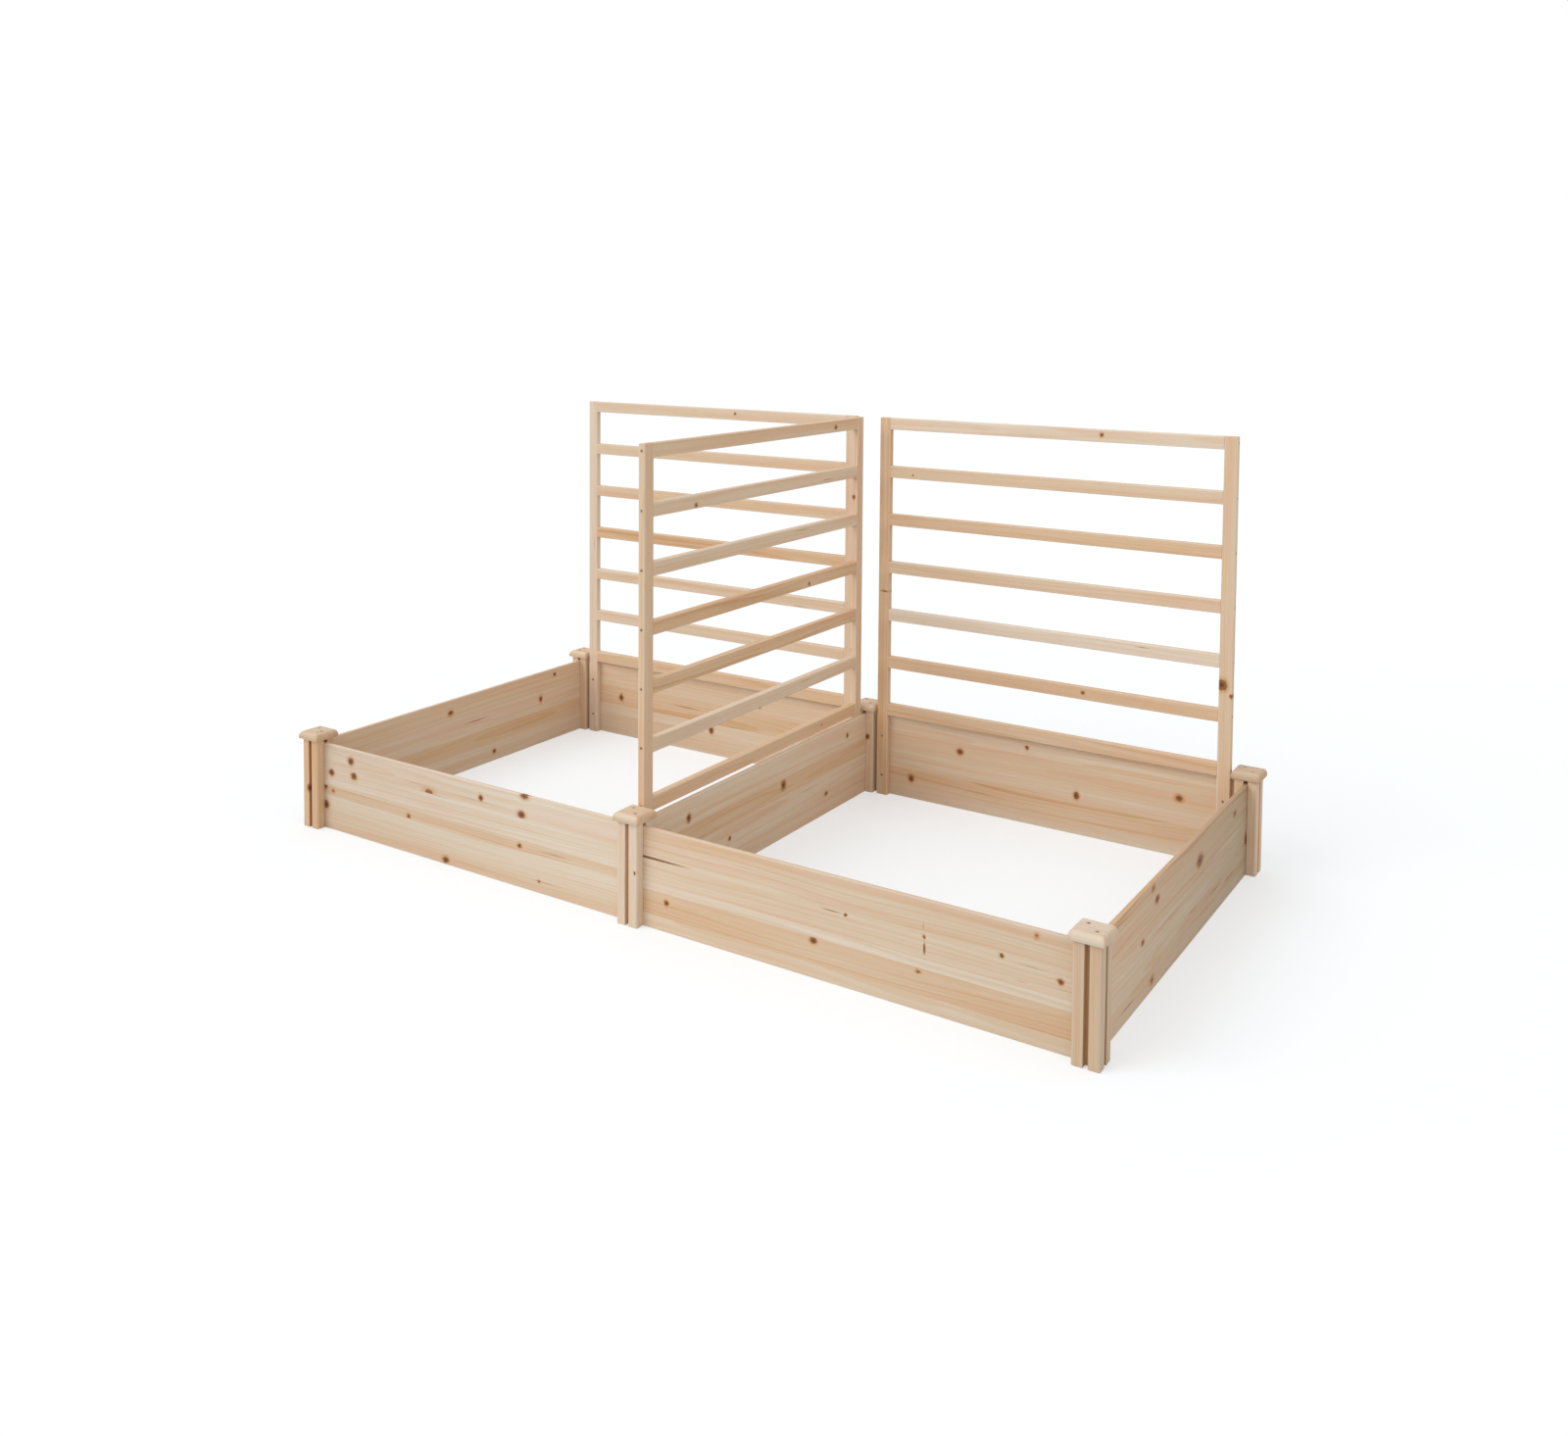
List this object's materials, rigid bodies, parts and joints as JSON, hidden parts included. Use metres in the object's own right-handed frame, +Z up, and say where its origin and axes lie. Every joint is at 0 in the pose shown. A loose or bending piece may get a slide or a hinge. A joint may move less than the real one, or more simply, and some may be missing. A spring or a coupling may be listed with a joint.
{
  "type": "raised planter box with trellis panels",
  "caption": "Low open-bottomed raised planter of knotty fir: grooved posts with screwed caps, slide-in boards, a dividing board, and ladder trellis panels at the back and on the divider.",
  "frame": {"origin": "on the ground under the middle of the planter, midway between the end posts and between the front and back posts", "axes": "+X along the front, over both bays, to the right as seen from the front; +Y to the back, where the trellis panels stand; +Z up"},
  "size_m": [2.356, 1.216, 1.145],
  "materials": {
    "board_fir": "planed, edge-glued, bare",
    "post_fir": "planed, bare",
    "cap_fir": "planed, rounded over, bare",
    "trellis_fir": "planed, bare",
    "screw_steel": "zinc plated"
  },
  "bodies": {
    "root": {"post_front_left": "post_fir", "cap_front_left": "cap_fir", "post_front_middle": "post_fir", "cap_front_middle": "cap_fir", "post_front_right": "post_fir", "cap_front_right": "cap_fir", "post_back_left": "post_fir", "cap_back_left": "cap_fir", "post_back_middle": "post_fir", "cap_back_middle": "cap_fir", "post_back_right": "post_fir", "cap_back_right": "cap_fir", "board_front_left": "board_fir", "board_front_right": "board_fir", "board_back_left": "board_fir", "board_back_right": "board_fir", "board_left_end": "board_fir", "board_divider": "board_fir", "board_right_end": "board_fir", "trellis_back_left_left_stile": "trellis_fir", "trellis_back_left_right_stile": "trellis_fir", "trellis_back_left_top_rail": "trellis_fir", "trellis_back_left_rung_1": "trellis_fir", "trellis_back_left_rung_2": "trellis_fir", "trellis_back_left_rung_3": "trellis_fir", "trellis_back_left_rung_4": "trellis_fir", "trellis_back_left_rung_5": "trellis_fir", "trellis_back_left_rung_6": "trellis_fir", "trellis_back_left_rung_screws": "screw_steel", "trellis_back_left_leg_screws": "screw_steel", "trellis_back_right_left_stile": "trellis_fir", "trellis_back_right_right_stile": "trellis_fir", "trellis_back_right_top_rail": "trellis_fir", "trellis_back_right_rung_1": "trellis_fir", "trellis_back_right_rung_2": "trellis_fir", "trellis_back_right_rung_3": "trellis_fir", "trellis_back_right_rung_4": "trellis_fir", "trellis_back_right_rung_5": "trellis_fir", "trellis_back_right_rung_6": "trellis_fir", "trellis_back_right_rung_screws": "screw_steel", "trellis_back_right_leg_screws": "screw_steel", "trellis_middle_back_stile": "trellis_fir", "trellis_middle_front_stile": "trellis_fir", "trellis_middle_top_rail": "trellis_fir", "trellis_middle_rung_1": "trellis_fir", "trellis_middle_rung_2": "trellis_fir", "trellis_middle_rung_3": "trellis_fir", "trellis_middle_rung_4": "trellis_fir", "trellis_middle_rung_5": "trellis_fir", "trellis_middle_rung_6": "trellis_fir", "trellis_middle_rung_screws": "screw_steel", "trellis_middle_leg_screws": "screw_steel", "cap_screws": "screw_steel"}
  },
  "joints": []
}
